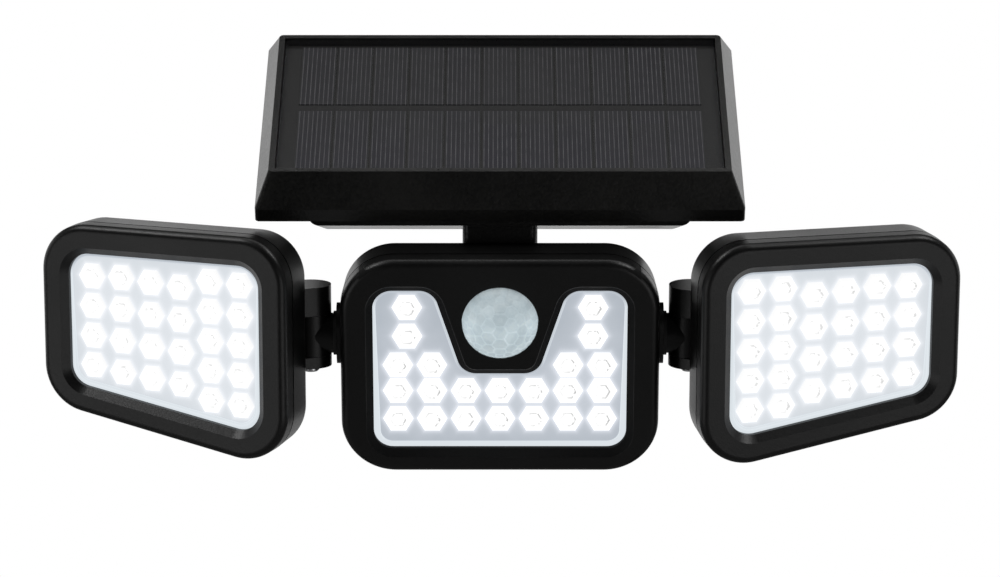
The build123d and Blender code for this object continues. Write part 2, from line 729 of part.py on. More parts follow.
# ---------------------------------------------------------------- sensor
# One profile, turned about the sensor's own line: x runs out from that line, y out of the face.
dome_round = dome_wide / 2
dome_ball = (dome_round**2 + dome_high**2) / (2 * dome_high)
inner_round, inner_ball = dome_round - dome_thick, dome_ball - dome_thick
inner_edge = dome_high - dome_ball + sqrt(inner_ball**2 - inner_round**2)
dome_plane = Plane(
    origin=centre_face.from_local_coords((0, dome_up, 0)),
    x_dir=centre_face.x_dir,
    z_dir=-centre_face.y_dir,
)
with BuildPart() as sensor_dome:
    with BuildSketch(dome_plane):
        with BuildLine():
            RadiusArc((0, dome_high), (dome_round, 0), dome_ball)
            Polyline(
                (dome_round, 0),
                (dome_round, -bezel_wall),
                (dome_round + dome_flange, -bezel_wall),
                (dome_round + dome_flange, -bezel_wall - dome_flange_thick),
                (inner_round, -bezel_wall - dome_flange_thick),
                (inner_round, inner_edge),
            )
            RadiusArc((inner_round, inner_edge), (0, dome_high - dome_thick), -inner_ball)
            Line((0, dome_high - dome_thick), (0, dome_high))
        make_face()
    revolve(axis=Axis(dome_plane.origin, centre_face.z_dir))
save(sensor_dome.part, "sensor_dome")

with BuildPart() as sensor_can:
    with BuildSketch(centre.level(led_board_back)):
        with Locations(centre.dome):
            Circle(can_wide / 2)
    extrude(amount=can_high)
    fillet(front_face(sensor_can.faces(), centre_face).edges(), can_round)
save(sensor_can.part, "sensor_can")

# ---------------------------------------------------------------- pivot
lug_out = lug_in + lug_thick
bolt_length = 2 * lug_out + nut_thick + bolt_past_nut
pivot_head = Plane(origin=(-lug_out, pivot_y, pivot_z), x_dir=(0, 1, 0), z_dir=(-1, 0, 0))
save(screw(pivot_head, pivot_bolt, bolt_length), "pivot_screw")

with BuildPart() as pivot_nut:
    with BuildSketch(across(pivot_y, pivot_z, lug_out)):
        RegularPolygon(nut_wide / 2, 6)
        Circle(pivot_bolt[1] / 2 + nut_slack, mode=Mode.SUBTRACT)
    extrude(amount=nut_thick)
save(pivot_nut.part, "pivot_nut")

with BuildPart() as pivot_washers:
    for x in (-lug_in, lug_in - washer_thick):
        with BuildSketch(across(pivot_y, pivot_z, x)):
            Circle(lug_round - washer_gap)
            Circle(pivot_bolt[1] / 2 + screw_slack, mode=Mode.SUBTRACT)
        extrude(amount=washer_thick)
save(pivot_washers.part, "pivot_washers")


# ---------------------------------------------------------------- side arms and heads
def make_arm(name, side, upright):
    """An arm: its barrel turns in the centre head's pad and ends in the eye of the knuckle."""
    x_ring = side * pad_face_x
    barrel_y, barrel_z = arm_centre.Y, arm_centre.Z
    x_barrel = side * (pad_face_x + ring_thick)
    x_spigot = side * (pad_back_x - spigot_end_gap)
    with BuildPart() as arm:
        with BuildSketch(across(barrel_y, barrel_z, x_barrel)):
            Circle(arm_wide / 2)
        extrude(amount=side * (knuckle_x - pad_face_x - ring_thick))
        with BuildSketch(across(barrel_y, barrel_z, x_spigot)):
            Circle(spigot_wide / 2)
        extrude(amount=x_barrel - x_spigot)
        with BuildSketch(upright):
            Circle(eye_wide / 2)
        extrude(amount=eye_tall / 2, both=True)
        with BuildSketch(upright):
            Circle(small_screw[1] / 2 + screw_slack)
        extrude(amount=eye_tall, both=True, mode=Mode.SUBTRACT)
        with BuildSketch(across(barrel_y, barrel_z, x_spigot)):
            Circle(case_screw[1] / 2 + screw_slack)
        extrude(amount=side * tilt_screw_long, mode=Mode.SUBTRACT)
    save(arm.part, f"{name}_arm")

    with BuildPart() as ring:
        with BuildSketch(across(barrel_y, barrel_z, x_ring)):
            Circle(ring_wide / 2)
            Circle(spigot_wide / 2 + spigot_slack, mode=Mode.SUBTRACT)
        extrude(amount=side * ring_thick)
    save(ring.part, f"{name}_friction_ring")

    with BuildPart() as washer:
        with BuildSketch(across(barrel_y, barrel_z, x_spigot)):
            Circle(tilt_head / 2 + tilt_washer_rim)
            Circle(case_screw[1] / 2 + screw_slack, mode=Mode.SUBTRACT)
        extrude(amount=-side * washer_thick)
    save(washer.part, f"{name}_tilt_washer")

    head_at = Plane(
        origin=(x_spigot - side * washer_thick, barrel_y, barrel_z),
        x_dir=(0, 1, 0),
        z_dir=(-side, 0, 0),
    )
    save(screw(head_at, (tilt_head, case_screw[1], case_screw[2]), tilt_screw_long), f"{name}_tilt_screw")


def make_side_head(name, side, tilt, swing):
    """A side head and its arm; side is -1 on the left and 1 on the right."""
    knuckle = Vector(side * knuckle_x, arm_centre.Y, arm_centre.Z)
    arm_face = face_plane(knuckle, tilt)
    upright = Plane(origin=knuckle, x_dir=arm_face.x_dir, z_dir=arm_face.y_dir)
    make_arm(name, side, upright)

    turned = face_plane(knuckle, tilt, -side * swing)
    middle = turned.from_local_coords((side * knuckle_in, -knuckle_up, knuckle_back))
    head = Head(
        name,
        face_plane(middle, tilt, -side * swing),
        [(side * x, y) for x, y in side_outline],
        side_round,
        side_deep,
    )
    head.window = [(side * x, y) for x, y in side_window]
    head.window_round = side_window_round
    head.lenslet_wide = side_lenslet
    for column, (top, pitch, count) in enumerate(side_columns):
        x = side_first_column - column * side_column_pitch
        head.leds += [(side * x, top - row * pitch) for row in range(count)]
    head.posts = [(side * x, y) for x, y in side_posts]
    head.board_rests = [(side * x, y) for x, y in side_rests]

    # The knuckle: two lugs above and below the arm's eye, on a plane square to the upright.
    across_knuckle = Plane(origin=knuckle, x_dir=head.face.x_dir, z_dir=head.face.y_dir)
    with BuildPart() as lugs:
        for low, high in (
            (eye_tall / 2 + lug_slack, eye_tall / 2 + lug_slack + upper_lug),
            (-eye_tall / 2 - lug_slack - lower_lug, -eye_tall / 2 - lug_slack),
        ):
            with BuildSketch(across_knuckle.offset(low)):
                Circle(eye_wide / 2)
                with Locations((side * lug_root_out, side_deep - lug_root_bite - knuckle_back)):
                    Rectangle(lug_root_wide, lug_root_bite / 2)
                make_hull()
            extrude(amount=high - low)
    with BuildPart() as bores:
        with BuildSketch(across_knuckle.offset(-eye_tall / 2 - lug_slack - lower_lug)):
            Circle(small_screw[1] / 2 + screw_slack)
        extrude(amount=knuckle_bore)
    make_shell(head, lugs.part, bores.part)
    make_bezel(head)
    make_seal(head)
    make_lens(head)
    make_board(head)
    make_case_screws(head)

    downward = facing_back(across_knuckle.offset(-eye_tall / 2 - lug_slack - lower_lug))
    save(
        screw(downward, small_screw, knuckle_bore - screw_end_gap), f"{name}_knuckle_screw"
    )


arm_centre = centre_face.from_local_coords((0, arm_up, -arm_back))
knuckle_bore = lower_lug + eye_tall + 2 * lug_slack + upper_lug - knuckle_bore_short
side_outline = [
    (side_outer, -side_low_outer), (side_outer, side_top), (-side_inner, side_top),
    (-side_inner, -side_low_inner),
]
make_side_head("left", -1, left_tilt, left_swing)
make_side_head("right", 1, right_tilt, right_swing)
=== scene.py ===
import json
from math import cos, pi, radians, sin

import bmesh
import bpy
import numpy as np
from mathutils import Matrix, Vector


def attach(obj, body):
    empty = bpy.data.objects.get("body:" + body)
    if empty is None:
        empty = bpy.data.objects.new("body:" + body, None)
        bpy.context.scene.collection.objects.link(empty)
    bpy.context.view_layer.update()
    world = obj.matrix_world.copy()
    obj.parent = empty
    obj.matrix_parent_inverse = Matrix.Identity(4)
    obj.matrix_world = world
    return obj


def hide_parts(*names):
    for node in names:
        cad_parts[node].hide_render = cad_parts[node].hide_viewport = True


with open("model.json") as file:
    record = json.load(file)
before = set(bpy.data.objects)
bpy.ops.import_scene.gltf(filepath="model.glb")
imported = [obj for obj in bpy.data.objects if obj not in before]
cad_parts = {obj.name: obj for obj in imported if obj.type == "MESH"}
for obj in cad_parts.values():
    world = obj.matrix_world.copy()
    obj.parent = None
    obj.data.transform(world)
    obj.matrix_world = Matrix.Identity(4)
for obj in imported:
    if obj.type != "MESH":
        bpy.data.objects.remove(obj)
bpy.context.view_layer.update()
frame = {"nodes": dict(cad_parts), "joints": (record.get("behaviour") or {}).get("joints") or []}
nodes = frame["nodes"]
joints = {joint["name"]: joint for joint in frame["joints"]}
MM = 0.001

# Camera: level and straight in front of the light, 1.28 m from the wall, at the heads' height. The
# photograph's focal length was fitted as 3870 of its own pixels, on a picture 1000 pixels wide.
FOCAL_PX, PICTURE_PX, SENSOR = 3870, 1000, 36
CAMERA_AT = (0, -1.277, -0.043)
camera_data = bpy.data.cameras.new("camera")
camera_data.sensor_width = SENSOR
camera_data.lens = FOCAL_PX / PICTURE_PX * SENSOR
camera_data.clip_start = 0.01
camera = bpy.data.objects.new("camera", camera_data)
camera.location = CAMERA_AT
camera.rotation_euler = (pi / 2, 0, 0)
bpy.context.collection.objects.link(camera)
bpy.context.scene.camera = camera
bpy.context.scene.view_settings.view_transform = "Standard"


# Studio: a pale floor far below the light that runs up into a low white backdrop, which is seen
# straight and mirrored in the black plastic, and clear from behind. One long lamp hangs over the
# panel, with two soft ones high at the sides, two beside it and two low in front of the side heads.
class Wire:
    """One output of a shader tree. Operators on it add Math nodes, and `add` adds any other node."""

    def __init__(self, tree, socket=None):
        self.tree, self.socket = tree, socket

    def add(self, kind, settings=None, inputs=None, output=0):
        """Add a node: settings first, then inputs by name or number, each a value or a wire."""
        node = self.tree.nodes.new(kind)
        for name, value in (settings or {}).items():
            setattr(node, name, value)
        for name, value in (inputs or {}).items():
            if isinstance(value, Wire):
                self.tree.links.new(value.socket, node.inputs[name])
            else:
                node.inputs[name].default_value = value
        return Wire(self.tree, node.outputs[output] if node.outputs else None)

    def output(self, name):
        """Another output of the same node."""
        return Wire(self.tree, self.socket.node.outputs[name])

    def maths(self, operation, *others):
        """A Math node of the wire and the others, in their order."""
        return self.add(
            "ShaderNodeMath", {"operation": operation}, dict(enumerate((self, *others)))
        )

    def __add__(self, other):
        return self.maths("ADD", other)

    def __sub__(self, other):
        return self.maths("SUBTRACT", other)

    def __rsub__(self, other):
        return self.add("ShaderNodeMath", {"operation": "SUBTRACT"}, {0: other, 1: self})

    def __mul__(self, other):
        return self.maths("MULTIPLY", other)

    def __truediv__(self, other):
        return self.maths("DIVIDE", other)

    def __lt__(self, other):
        return self.maths("LESS_THAN", other)

    def __gt__(self, other):
        return self.maths("GREATER_THAN", other)

    __radd__, __rmul__ = __add__, __mul__

    def ramp(self, *stops):
        """The wire's value looked up between (value, result) stops."""
        wire = self.add("ShaderNodeFloatCurve", inputs={"Value": self})
        mapping = wire.socket.node.mapping
        points = mapping.curves[0].points
        while len(points) < len(stops):
            points.new(0, 0)
        for point, stop in zip(points, stops):
            point.location, point.handle_type = stop, "VECTOR"
        mapping.extend = "HORIZONTAL"
        mapping.update()
        return wire

    def tint(self, low, high):
        """A colour from low to high, each a colour or a wire, as the wire goes from 0 to 1."""
        low, high = (end if isinstance(end, Wire) else (*end, 1) for end in (low, high))
        return self.add(
            "ShaderNodeMix",
            {"data_type": "RGBA", "clamp_factor": True},
            {0: self, 6: low, 7: high},
            output=2,
        )

    def noise(self, size, detail):
        """Smooth noise over the object's own space, with features of that size in metres."""
        spot = self.add("ShaderNodeTexCoord", output=3)
        return self.add(
            "ShaderNodeTexNoise", inputs={"Vector": spot, "Scale": 1 / size, "Detail": detail}
        )

    def bump(self, height, depth):
        """A normal from a height wire, whose 1 stands for that depth in metres."""
        return self.add("ShaderNodeBump", inputs={"Height": height, "Distance": depth})


def new_tree(name):
    """An empty material and the wire to build its nodes from."""
    finish = bpy.data.materials.new(name)
    finish.use_nodes = True
    finish.node_tree.nodes.clear()
    return finish, Wire(finish.node_tree)


def surface(start, shader):
    """Make a shader the surface of its material."""
    start.add("ShaderNodeOutputMaterial", inputs={"Surface": shader})


def grid_mesh(name, points, closed_u=False, closed_v=False, smooth=True):
    """A mesh over a grid of points, rows by columns, joined round where a direction is closed."""
    rows, columns = points.shape[:2]
    index = np.arange(rows * columns).reshape(rows, columns)
    if closed_u:
        index = np.vstack([index, index[:1]])
    if closed_v:
        index = np.hstack([index, index[:, :1]])
    quads = np.stack([index[:-1, :-1], index[:-1, 1:], index[1:, 1:], index[1:, :-1]], -1)
    mesh = bpy.data.meshes.new(name)
    mesh.from_pydata(points.reshape(-1, 3).tolist(), [], quads.reshape(-1, 4).tolist())
    mesh.shade_smooth() if smooth else mesh.shade_flat()
    return mesh


def show(name, mesh, finish):
    """An object that shows a mesh in one finish."""
    piece = bpy.data.objects.new(name, mesh)
    mesh.materials.append(finish)
    bpy.context.collection.objects.link(piece)
    return piece


SWEEP_FRONT, SWEEP_BACK, SWEEP_ROUND, SWEEP_HALF = -2.2, 1.4, 0.3, 2.6
FLOOR_Z, SWEEP_TOP = -0.7, 0.95
PAPER_GREY, FLOOR_SEEN = 0.35, 0.85  # what it gives back of the lamps, and how white its floor is
turn = np.linspace(0, pi / 2, 24)
bend_y = SWEEP_BACK - SWEEP_ROUND + SWEEP_ROUND * np.sin(turn)
bend_z = FLOOR_Z + SWEEP_ROUND - SWEEP_ROUND * np.cos(turn)
sweep_x = np.array([-SWEEP_HALF, SWEEP_HALF])
sweep_y = np.concatenate([[SWEEP_FRONT], bend_y, [SWEEP_BACK]])
sweep_z = np.concatenate([[FLOOR_Z], bend_z, [SWEEP_TOP]])
sweep = np.stack(np.broadcast_arrays(sweep_x, sweep_y[:, None], sweep_z[:, None]), -1)
white, start = new_tree("studio_white")
path = start.add("ShaderNodeLightPath")
place = start.add("ShaderNodeTexCoord", output=3)
height = start.add("ShaderNodeSeparateXYZ", inputs={0: place}).output("Z")
upright = ((height - FLOOR_Z) / SWEEP_ROUND).ramp((0.0, 0.0), (1.0, 1.0))
straight = path.maths("MAXIMUM", path.output("Is Transmission Ray"))
mirrored = path.output("Is Glossy Ray") * upright
seen = (straight * (FLOOR_SEEN + (1 - FLOOR_SEEN) * upright)).maths("MAXIMUM", mirrored)
paper = start.add("ShaderNodeBsdfDiffuse", inputs={"Color": (PAPER_GREY,) * 3 + (1,)})
glow = start.add("ShaderNodeEmission", inputs={"Color": (1, 1, 1, 1), "Strength": 1.0})
lit_side = start.add("ShaderNodeMixShader", inputs={0: seen, 1: paper, 2: glow})
behind = start.add("ShaderNodeNewGeometry").output("Backfacing")
nothing = start.add("ShaderNodeBsdfTransparent")
surface(start, start.add("ShaderNodeMixShader", inputs={0: behind, 1: lit_side, 2: nothing}))
backdrop = show("backdrop", grid_mesh("backdrop", sweep), white)


def lamp(name, place, target, size, power):
    """A flat lamp at a place, turned to a target."""
    data = bpy.data.lights.new(name, "AREA")
    data.shape, data.size, data.size_y, data.energy = "RECTANGLE", *size, power
    light = bpy.data.objects.new(name, data)
    light.location = place
    aim = np.array(target) - np.array(place)
    light.rotation_euler = Vector(aim).to_track_quat("-Z", "Y").to_euler()
    bpy.context.collection.objects.link(light)


MIDDLE, LEFT_AIM, RIGHT_AIM = (0, -0.05, -0.04), (-0.1, -0.08, -0.06), (0.1, -0.08, -0.06)
LAMPS = [  # name, place, target, size in metres and power in watts
    ("top_lamp", (0, 0.05, 1.2), MIDDLE, (1.7, 0.3), 3.4),
    ("left_key", (-0.85, -0.5, 1.15), MIDDLE, (0.5, 0.5), 7),
    ("right_key", (0.85, -0.5, 1.15), MIDDLE, (0.5, 0.5), 7),
    ("left_side", (-1.7, 0.3, 0.1), MIDDLE, (1.1, 1.1), 3.2),
    ("right_side", (1.7, 0.3, 0.1), MIDDLE, (1.1, 1.1), 3.2),
    ("left_low", (-0.95, -0.82, -0.42), LEFT_AIM, (0.8, 0.8), 2.4),
    ("right_low", (0.7, -0.98, -0.52), RIGHT_AIM, (0.8, 0.8), 2.6),
]
for lamp_settings in LAMPS:
    lamp(*lamp_settings)
SKY_LEVEL = 0.04  # the sky's light on the object; the camera itself sees the sky white
world = bpy.data.worlds.new("studio")
world.use_nodes = True
world.node_tree.nodes.clear()
sky = Wire(world.node_tree)
level = sky.add("ShaderNodeLightPath") * (1 - SKY_LEVEL) + SKY_LEVEL
sky_light = sky.add("ShaderNodeBackground", inputs={"Color": (1, 1, 1, 1), "Strength": level})
sky.add("ShaderNodeOutputWorld", inputs={"Surface": sky_light})
bpy.context.scene.world = world

# Panel frame: the sloped tray that holds the solar panel. Black plastic, moulded with a coarse
# leather-like grain that catches the light along its bevels. The rear housing and neck match it.
TRAY_BLACK, TRAY_GREY = (0.0025, 0.0025, 0.0024), (0.009, 0.0088, 0.0080)
TRAY_GRAIN = (0.0008, 0.00009)  # its grains' size and depth, in metres
CLOUD_SIZE, CLOUD_GLOSS, GRAIN_GLOSS = 0.03, 0.10, 0.14  # what clouding and grain do to roughness
MATT_ROUGH = 0.9


def principled(start, **inputs):
    """The main shader; names are its sockets' with underscores for spaces."""
    named = {name.replace("_", " "): value for name, value in inputs.items()}
    for name, value in named.items():
        if name.endswith("Color") and not isinstance(value, Wire):
            named[name] = (*value, 1)
    return start.add("ShaderNodeBsdfPrincipled", inputs=named)


def moulded_black(name, grain, low, high, rough, gleam, matt=None):
    """Black plastic: fine grain in its bump, and faint clouding in its colour and its gloss.

    grain is the grains' size and depth, and matt builds a wire that is 1 where it is dull.
    """
    finish, start = new_tree(name)
    cloud = start.noise(CLOUD_SIZE, 3)
    pits = start.noise(grain[0], 1)
    gloss = cloud * CLOUD_GLOSS + pits * GRAIN_GLOSS + (rough - (CLOUD_GLOSS + GRAIN_GLOSS) / 2)
    if matt:
        gloss = gloss.maths("MAXIMUM", matt(start) * MATT_ROUGH)
    surface(start, principled(
        start,
        Base_Color=(cloud * 0.6 + pits * 0.4).ramp((0.35, 0), (0.65, 1)).tint(low, high),
        Roughness=gloss,
        Specular_IOR_Level=gleam,
        Normal=start.bump(pits, grain[1]),
    ))
    return finish


def dress(finish, *names):
    """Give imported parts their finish."""
    for name in names:
        for material_slot in nodes[name].material_slots:
            material_slot.material = finish


tray_black = moulded_black("tray_black", TRAY_GRAIN, TRAY_BLACK, TRAY_GREY, 0.32, 0.5)
dress(tray_black, "panel_frame", "rear_housing", "neck")

# Solar panel: 22 strips of dark silicon in two rows under a sheet of glass, on a dark board.
# Each strip carries eight printed silver fingers along the slope, and the strips' edges are bare.
FINGER_PITCH, FINGER_WIDE = 1.43 * MM, 0.22 * MM
FINGERS_OFF = 20  # whole fingers, which keep the count above 0
CELL_PITCH, ROWS_MEET = 11.7 * MM, 0.009  # the second is the height where the two rows meet
CELL_DARK, CELL_VIOLET = (0.018, 0.0178, 0.0185), (0.008, 0.007, 0.016)
FINGER_GREY, EDGE_GREY, CELL_LIT = (0.14, 0.14, 0.145), (0.0125, 0.0125, 0.012), 5.3 * MM
BOARD_DARK, BOARD_PALE = (0.011, 0.011, 0.0105), (0.016, 0.016, 0.015)
silicon, start = new_tree("silicon")
spot = start.add("ShaderNodeTexCoord", output=3)
across_x = start.add("ShaderNodeSeparateXYZ", inputs={0: spot})
up_z = across_x.output("Z")
cell = (across_x / CELL_PITCH + 0.5).maths("FLOOR")
row = up_z > ROWS_MEET
seed = start.add("ShaderNodeCombineXYZ", inputs={0: cell, 1: row, 2: 0.5})
shade = start.add("ShaderNodeTexWhiteNoise", inputs={"Vector": seed})
within = across_x - cell * CELL_PITCH
finger_at = (within / FINGER_PITCH + FINGERS_OFF).maths("FRACT") - 0.5
finger = finger_at.maths("ABSOLUTE") < FINGER_WIDE / FINGER_PITCH / 2
lower = (up_z / ROWS_MEET).ramp((-1.0, 1.0), (1.0, 0.2), (4.0, 0.0))
base = (shade * 0.3 + start.noise(0.012, 2) * 0.2 + lower * 0.5).tint(CELL_DARK, CELL_VIOLET)
worn = start.noise(0.004, 2).ramp((0.3, 0.45), (0.65, 1.0))
printed = (finger * worn * (0.6 + 0.4 * shade)).tint(base, FINGER_GREY)
bare = within.maths("ABSOLUTE") > CELL_LIT
surface(start, principled(
    start, Base_Color=bare.tint(printed, EDGE_GREY), Roughness=0.38 + 0.1 * finger,
    Specular_IOR_Level=0.3,
))
dress(silicon, "solar_cells")


def clouded(name, size, detail, low, high, depth, **looks):
    """A finish with one noise in its colour, from low to high, and in its bump."""
    finish, start = new_tree(name)
    cloud = start.noise(size, detail)
    surface(start, principled(
        start, Base_Color=cloud.tint(low, high), Normal=start.bump(cloud, depth), **looks
    ))
    return finish


dress(clouded(
    "panel_board", 0.0008, 2, BOARD_DARK, BOARD_PALE, 0.00004, Roughness=0.5,
    Specular_IOR_Level=0.25,
), "panel_backsheet")

PANEL_SLOPE = radians(36)
SKIRT_FRONT = np.array([0, -77.0, -22.2]) * MM
UP_SLOPE = np.array([0, cos(PANEL_SLOPE), sin(PANEL_SLOPE)])
OFF_SLOPE = np.array([0, -sin(PANEL_SLOPE), cos(PANEL_SLOPE)])
GLASS_HALF, GLASS_LOW, GLASS_HIGH = 69.6 * MM, 9.2 * MM, 83.7 * MM
GLASS_UNDER, GLASS_OVER, GLASS_EDGE = 11.65 * MM, 13.6 * MM, 0.25 * MM
GLASS_MIRROR, SHEEN_STRAIGHT, SHEEN_GRAZING = (0.8, 0.8, 0.85, 1), 0.015, 0.9


def slab_of_glass():
    """A flat sheet with ground edges: four rings round its outline, from under it to over it.

    Each ring is the sheet's rectangle drawn in by the ring's own amount, at the ring's own height.
    """
    drawn_in = np.array([GLASS_EDGE, 0, 0, GLASS_EDGE])
    height = np.array([GLASS_UNDER, GLASS_UNDER + GLASS_EDGE, GLASS_OVER - GLASS_EDGE, GLASS_OVER])
    corner_x = np.array([-1, 1, 1, -1]) * GLASS_HALF
    corner_u = np.array([GLASS_LOW, GLASS_LOW, GLASS_HIGH, GLASS_HIGH])
    middle_u = (GLASS_LOW + GLASS_HIGH) / 2
    x = corner_x[None] - np.sign(corner_x)[None] * drawn_in[:, None]
    u = corner_u[None] - np.sign(corner_u - middle_u)[None] * drawn_in[:, None]
    flat = np.stack([x, 0 * x, 0 * x], -1)
    points = flat + SKIRT_FRONT + u[..., None] * UP_SLOPE + height[:, None, None] * OFF_SLOPE
    return grid_mesh("panel_glass_sheet", points, closed_v=True, smooth=False)


def close_ends(mesh, columns):
    """Fill the first and the last ring of a grid mesh that is closed along its columns."""
    edit = bmesh.new()
    edit.from_mesh(mesh)
    edit.verts.ensure_lookup_table()
    edit.faces.new([edit.verts[i] for i in range(columns)][::-1])
    last = len(edit.verts) - columns
    edit.faces.new([edit.verts[last + i] for i in range(columns)])
    bmesh.ops.recalc_face_normals(edit, faces=edit.faces)
    edit.to_mesh(mesh)
    edit.free()


glass, start = new_tree("panel_glass_clear")
clear = start.add("ShaderNodeBsdfTransparent")
mirror = start.add(
    "ShaderNodeBsdfAnisotropic", inputs={"Color": GLASS_MIRROR, "Roughness": 0.2}
)
grazing = start.add("ShaderNodeLayerWeight", inputs={"Blend": 0.5}, output=1)
sheen = SHEEN_STRAIGHT + grazing.maths("POWER", 5.0) * SHEEN_GRAZING
surface(start, start.add("ShaderNodeMixShader", inputs={0: sheen, 1: clear, 2: mirror}))
sheet_mesh = slab_of_glass()
close_ends(sheet_mesh, 4)
sheet = show("panel_glass_sheet", sheet_mesh, glass)
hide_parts("panel_glass")
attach(sheet, "housing")

# Housing fittings: rubber seals and friction rings, plated screws, nut and washers, the steel wall
# plate and the sensor's can, the mode button, and the battery and control board inside.
HEADS, SIDES = ("centre", "left", "right"), ("left", "right")
rubber, start = new_tree("seal_rubber")
dust = start.noise(0.004, 3)
surface(start, principled(
    start, Base_Color=dust.tint((0.012, 0.012, 0.012), (0.03, 0.03, 0.03)), Roughness=0.7,
    Normal=start.bump(start.noise(0.0005, 2), 0.00003),
))
plated, start = new_tree("plated_steel")
brushed = start.noise(0.0012, 3)
surface(start, principled(
    start, Base_Color=brushed.tint((0.50, 0.50, 0.51), (0.66, 0.66, 0.67)), Metallic=1.0,
    Roughness=0.22 + 0.2 * brushed, Normal=start.bump(brushed, 0.00002),
))
sleeve = clouded(
    "battery_sleeve", 0.003, 3, (0.03, 0.12, 0.34), (0.05, 0.17, 0.45), 0.0001, Roughness=0.28
)
lacquer = clouded(
    "board_lacquer", 0.0015, 3, (0.62, 0.64, 0.65), (0.78, 0.80, 0.80), 0.00003, Roughness=0.35
)
button_rubber = clouded(
    "button_rubber", 0.002, 3, (0.035, 0.035, 0.037), (0.06, 0.06, 0.062), 0.00003, Roughness=0.6
)
dress(
    rubber, "housing_gasket", "button_ring", *[f"{head}_gasket" for head in HEADS],
    *[f"{side}_friction_ring" for side in SIDES],
)
dress(
    plated, "housing_screws", "wall_plate", "lock_screw", "neck_screws", "pivot_screw",
    "pivot_nut", "pivot_washers", "sensor_can", *[f"{head}_case_screws" for head in HEADS],
    *[f"{side}_{part}" for side in SIDES for part in ("tilt_screw", "tilt_washer", "knuckle_screw")],
)
dress(sleeve, "battery_cell")
dress(lacquer, "control_board", *[f"{head}_led_board" for head in HEADS])
dress(button_rubber, "mode_button")

# Heads: a shell and a bezel each, in black plastic with a finer grain than the tray's, and the lit
# LEDs. The arms are a little less glossy, and the cradle and the switch in the housing match them.
HEAD_BLACK, HEAD_GREY = (0.0008, 0.0008, 0.0008), (0.0028, 0.0028, 0.0028)
HEAD_GRAIN, HEAD_ROUGH, HEAD_GLEAM, ARM_GLEAM = (0.0005, 0.00003), 0.38, 0.36, 0.30
HEAD_LOOKS = (HEAD_GRAIN, HEAD_BLACK, HEAD_GREY, HEAD_ROUGH)
head_black = moulded_black("head_black", *HEAD_LOOKS, HEAD_GLEAM)
arm_black = moulded_black("arm_black", *HEAD_LOOKS, ARM_GLEAM)
dress(arm_black, "battery_cradle", "mode_switch", *[f"{side}_arm" for side in SIDES])
dress(head_black, *[f"{head}_rear_shell" for head in HEADS], *[f"{side}_bezel" for side in SIDES])

led_lit, start = new_tree("led_lit")
phosphor = start.noise(0.0006, 2)
surface(start, principled(
    start, Base_Color=(0.9, 0.86, 0.6), Roughness=0.4,
    Emission_Color=phosphor.tint((1.0, 0.97, 0.88), (1.0, 1.0, 1.0)), Emission_Strength=1.5,
))
dress(led_lit, *[f"{head}_leds" for head in HEADS])

# Lens plates: each head's front light cover, one clear moulding with a raised rim and a hexagonal
# lenslet for every LED. Lit from behind, its lenslets burn white and its field glows bluish grey.
CENTRE_TILT, CENTRE_DOWN, CENTRE_OUT = 22, 20.0, 28.0  # the centre face, from its pivot
SIDE_ALONG, SIDE_UP, SIDE_OUT = 37.0, 2.0, 27.5  # a side face, outward from its knuckle
CORNER_STEPS = 10


class Face:
    """A head's face: its middle, and its own right, up and out directions."""

    def __init__(self, middle, right, up, out):
        self.middle, self.right, self.up, self.out = middle, right, up, out

    def at(self, x, y, high):
        """Points of the face: x to the right, y up and a height out of it, in millimetres."""
        x, y, high = np.broadcast_arrays(x, y, high)
        return self.middle + MM * (
            x[..., None] * self.right + y[..., None] * self.up + high[..., None] * self.out
        )


def leaning(tilt, swing=0.0):
    """Right, up and out of a face that leans down by a tilt and then swings to the left."""
    lean, yaw = radians(tilt), radians(swing)
    right = np.array([cos(yaw), -sin(yaw) * cos(lean), -sin(yaw) * sin(lean)])
    out = np.array([-sin(yaw), -cos(yaw) * cos(lean), -cos(yaw) * sin(lean)])
    return right, np.cross(out, right), out


def centre_face():
    """The centre head's face, down from its pivot and out."""
    right, up, out = leaning(CENTRE_TILT)
    pivot = np.array(joints["centre_tilt"]["pos_m"])
    return Face(pivot + MM * (-CENTRE_DOWN * up + CENTRE_OUT * out), right, up, out)


def side_face(name, side, tilt, swing):
    """A side head's face, outward from its knuckle, up and out."""
    right, up, out = leaning(tilt, -side * swing)
    knuckle = np.array(joints[f"{name}_swing"]["pos_m"])
    offset = side * SIDE_ALONG * right + SIDE_UP * up + SIDE_OUT * out
    return Face(knuckle + MM * offset, right, up, out)


def weld(mesh, closed=True):
    """Merge the points of a mesh that lie on one another, and turn a closed one's faces outward."""
    edit = bmesh.new()
    edit.from_mesh(mesh)
    bmesh.ops.remove_doubles(edit, verts=edit.verts, dist=1e-7)
    if closed:
        bmesh.ops.recalc_face_normals(edit, faces=edit.faces)
    edit.to_mesh(mesh)
    edit.free()
    return mesh


def store_glow(mesh, glow):
    """Keep how strongly each point of a mesh glows, for its finish to read."""
    layer = mesh.attributes.new("glow", "FLOAT", "POINT")
    layer.data.foreach_set("value", glow.astype(np.float32).ravel())


def stored_glow(start):
    """The glow that was kept with a mesh."""
    return start.add("ShaderNodeAttribute", {"attribute_name": "glow"}, output=2)


